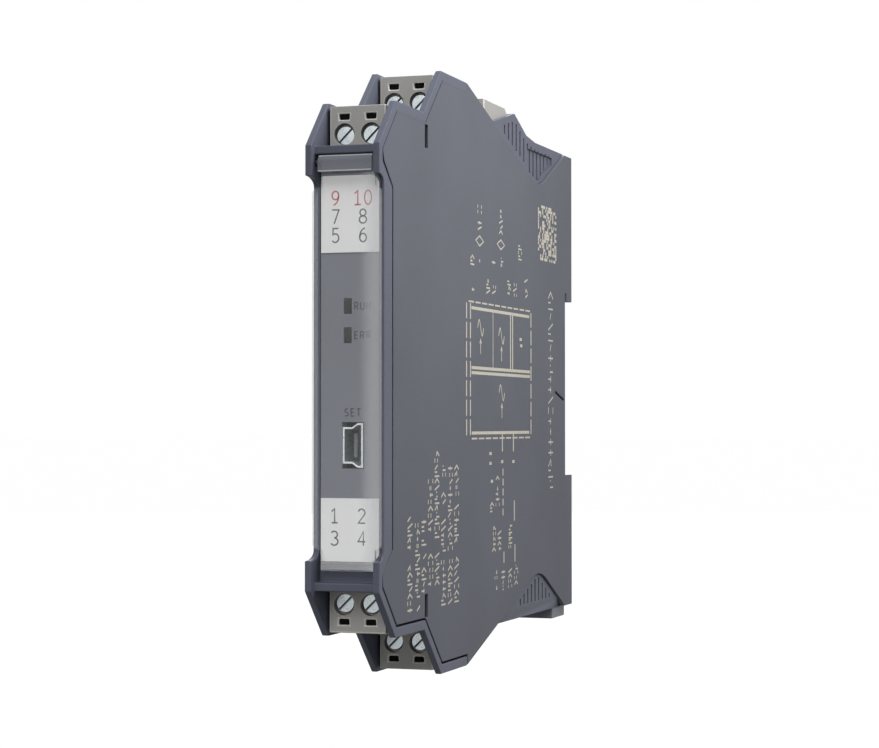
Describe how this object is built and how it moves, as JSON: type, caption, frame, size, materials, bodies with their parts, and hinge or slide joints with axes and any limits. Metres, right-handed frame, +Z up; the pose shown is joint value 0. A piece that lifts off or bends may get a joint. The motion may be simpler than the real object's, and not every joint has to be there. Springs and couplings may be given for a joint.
{
  "type": "signal isolator",
  "caption": "Slim rail-mounted signal isolator with stepped terminal ears, pull-off screw plugs, a clear hinged front flap and a sprung rail foot.",
  "frame": {"origin": "middle of the rail seat, on the plane where the housing's back meets the rail", "axes": "+X to the right of a viewer in front, +Y back to the rail, +Z up"},
  "size_m": [0.0126, 0.1185, 0.1034],
  "materials": {
    "housing": "fine moulded grain, slate grey",
    "cover": "fine moulded grain, slate grey",
    "panel": "satin grey moulding",
    "flap": "smoky clear plastic",
    "label": "printed white label",
    "lens": "dark indicator lens, unlit",
    "steel": "zinc-plated steel",
    "contact": "tin-flashed brass",
    "plug": "warm grey moulding",
    "header": "dark moulding",
    "board": "green solder mask",
    "chip": "black moulded case",
    "ferrite": "sintered ferrite",
    "copper": "enamelled copper winding",
    "can": "sleeved capacitor can",
    "latch": "dark grey moulding"
  },
  "bodies": {
    "housing": {"housing_body": "housing", "side_cover": "cover", "front_panel": "panel", "upper_label": "label", "lower_label": "label", "power_lens": "lens", "status_lens": "lens", "port_shell": "steel", "port_insert": "chip", "circuit_board": "board", "transformer_core": "ferrite", "transformer_coil": "copper", "isolation_chip": "chip", "signal_chips": "chip", "filter_capacitors": "can", "latch_spring": "steel", "header_56": "header", "header_78": "header", "header_910": "header", "header_12": "header", "header_34": "header", "pins_56": "contact", "pins_78": "contact", "pins_910": "contact", "pins_12": "contact", "pins_34": "contact"},
    "flap": {"front_flap": "flap"},
    "latch": {"foot_latch": "latch"},
    "plug_56": {"plug_56": "plug", "contacts_56": "contact"},
    "screw_5": {"screw_5": "steel"},
    "clamp_5": {"clamp_5": "steel"},
    "screw_6": {"screw_6": "steel"},
    "clamp_6": {"clamp_6": "steel"},
    "plug_78": {"plug_78": "plug", "contacts_78": "contact"},
    "screw_7": {"screw_7": "steel"},
    "clamp_7": {"clamp_7": "steel"},
    "screw_8": {"screw_8": "steel"},
    "clamp_8": {"clamp_8": "steel"},
    "plug_910": {"plug_910": "plug", "contacts_910": "contact"},
    "screw_9": {"screw_9": "steel"},
    "clamp_9": {"clamp_9": "steel"},
    "screw_10": {"screw_10": "steel"},
    "clamp_10": {"clamp_10": "steel"},
    "plug_12": {"plug_12": "plug", "contacts_12": "contact"},
    "screw_1": {"screw_1": "steel"},
    "clamp_1": {"clamp_1": "steel"},
    "screw_2": {"screw_2": "steel"},
    "clamp_2": {"clamp_2": "steel"},
    "plug_34": {"plug_34": "plug", "contacts_34": "contact"},
    "screw_3": {"screw_3": "steel"},
    "clamp_3": {"clamp_3": "steel"},
    "screw_4": {"screw_4": "steel"},
    "clamp_4": {"clamp_4": "steel"}
  },
  "joints": [
    {"name": "flap_swing", "type": "hinge", "parent": "housing", "child": "flap", "pos_m": [0, -0.1112, 0.0331], "axis": [-1, 0, 0], "range_deg": [0, 100]},
    {"name": "latch_slide", "type": "slide", "parent": "housing", "child": "latch", "axis": [0, 0, -1], "range_m": [0, 0.0035], "stiffness_N_per_m": 500, "springref_m": -0.004, "deforming": ["latch_spring"]},
    {"name": "plug_56_pull", "type": "slide", "parent": "housing", "child": "plug_56", "axis": [0, 0, 1], "range_m": [0, 0.0142]},
    {"name": "screw_5_turn", "type": "hinge", "parent": "plug_56", "child": "screw_5", "pos_m": [-0.0023, -0.1061, 0.038], "axis": [0, 1, 0], "range_deg": [0, 1201]},
    {"name": "clamp_5_ride", "type": "slide", "parent": "plug_56", "child": "clamp_5", "axis": [0, -1, 0], "range_m": [0, 0.0015]},
    {"name": "screw_6_turn", "type": "hinge", "parent": "plug_56", "child": "screw_6", "pos_m": [0.0023, -0.1061, 0.038], "axis": [0, 1, 0], "range_deg": [0, 1201]},
    {"name": "clamp_6_ride", "type": "slide", "parent": "plug_56", "child": "clamp_6", "axis": [0, -1, 0], "range_m": [0, 0.0015]},
    {"name": "plug_78_pull", "type": "slide", "parent": "housing", "child": "plug_78", "axis": [0, 0, 1], "range_m": [0, 0.0142]},
    {"name": "screw_7_turn", "type": "hinge", "parent": "plug_78", "child": "screw_7", "pos_m": [-0.0023, -0.0818, 0.0463], "axis": [0, 1, 0], "range_deg": [0, 1201]},
    {"name": "clamp_7_ride", "type": "slide", "parent": "plug_78", "child": "clamp_7", "axis": [0, -1, 0], "range_m": [0, 0.0015]},
    {"name": "screw_8_turn", "type": "hinge", "parent": "plug_78", "child": "screw_8", "pos_m": [0.0023, -0.0818, 0.0463], "axis": [0, 1, 0], "range_deg": [0, 1201]},
    {"name": "clamp_8_ride", "type": "slide", "parent": "plug_78", "child": "clamp_8", "axis": [0, -1, 0], "range_m": [0, 0.0015]},
    {"name": "plug_910_pull", "type": "slide", "parent": "housing", "child": "plug_910", "axis": [0, 0, 1], "range_m": [0, 0.0142]},
    {"name": "screw_9_turn", "type": "hinge", "parent": "plug_910", "child": "screw_9", "pos_m": [-0.0023, -0.0518, 0.0463], "axis": [0, 1, 0], "range_deg": [0, 1201]},
    {"name": "clamp_9_ride", "type": "slide", "parent": "plug_910", "child": "clamp_9", "axis": [0, -1, 0], "range_m": [0, 0.0015]},
    {"name": "screw_10_turn", "type": "hinge", "parent": "plug_910", "child": "screw_10", "pos_m": [0.0023, -0.0518, 0.0463], "axis": [0, 1, 0], "range_deg": [0, 1201]},
    {"name": "clamp_10_ride", "type": "slide", "parent": "plug_910", "child": "clamp_10", "axis": [0, -1, 0], "range_m": [0, 0.0015]},
    {"name": "plug_12_pull", "type": "slide", "parent": "housing", "child": "plug_12", "axis": [0, 0, -1], "range_m": [0, 0.0142]},
    {"name": "screw_1_turn", "type": "hinge", "parent": "plug_12", "child": "screw_1", "pos_m": [-0.0023, -0.1061, -0.038], "axis": [0, 1, 0], "range_deg": [0, 1201]},
    {"name": "clamp_1_ride", "type": "slide", "parent": "plug_12", "child": "clamp_1", "axis": [0, -1, 0], "range_m": [0, 0.0015]},
    {"name": "screw_2_turn", "type": "hinge", "parent": "plug_12", "child": "screw_2", "pos_m": [0.0023, -0.1061, -0.038], "axis": [0, 1, 0], "range_deg": [0, 1201]},
    {"name": "clamp_2_ride", "type": "slide", "parent": "plug_12", "child": "clamp_2", "axis": [0, -1, 0], "range_m": [0, 0.0015]},
    {"name": "plug_34_pull", "type": "slide", "parent": "housing", "child": "plug_34", "axis": [0, 0, -1], "range_m": [0, 0.0142]},
    {"name": "screw_3_turn", "type": "hinge", "parent": "plug_34", "child": "screw_3", "pos_m": [-0.0023, -0.0818, -0.0463], "axis": [0, 1, 0], "range_deg": [0, 1201]},
    {"name": "clamp_3_ride", "type": "slide", "parent": "plug_34", "child": "clamp_3", "axis": [0, -1, 0], "range_m": [0, 0.0015]},
    {"name": "screw_4_turn", "type": "hinge", "parent": "plug_34", "child": "screw_4", "pos_m": [0.0023, -0.0818, -0.0463], "axis": [0, 1, 0], "range_deg": [0, 1201]},
    {"name": "clamp_4_ride", "type": "slide", "parent": "plug_34", "child": "clamp_4", "axis": [0, -1, 0], "range_m": [0, 0.0015]}
  ],
  "couplings": [
    {"joint": "screw_5_turn", "follows": "clamp_5_ride", "rad_per_m": 13963},
    {"joint": "screw_6_turn", "follows": "clamp_6_ride", "rad_per_m": 13963},
    {"joint": "screw_7_turn", "follows": "clamp_7_ride", "rad_per_m": 13963},
    {"joint": "screw_8_turn", "follows": "clamp_8_ride", "rad_per_m": 13963},
    {"joint": "screw_9_turn", "follows": "clamp_9_ride", "rad_per_m": 13963},
    {"joint": "screw_10_turn", "follows": "clamp_10_ride", "rad_per_m": 13963},
    {"joint": "screw_1_turn", "follows": "clamp_1_ride", "rad_per_m": 13963},
    {"joint": "screw_2_turn", "follows": "clamp_2_ride", "rad_per_m": 13963},
    {"joint": "screw_3_turn", "follows": "clamp_3_ride", "rad_per_m": 13963},
    {"joint": "screw_4_turn", "follows": "clamp_4_ride", "rad_per_m": 13963}
  ]
}
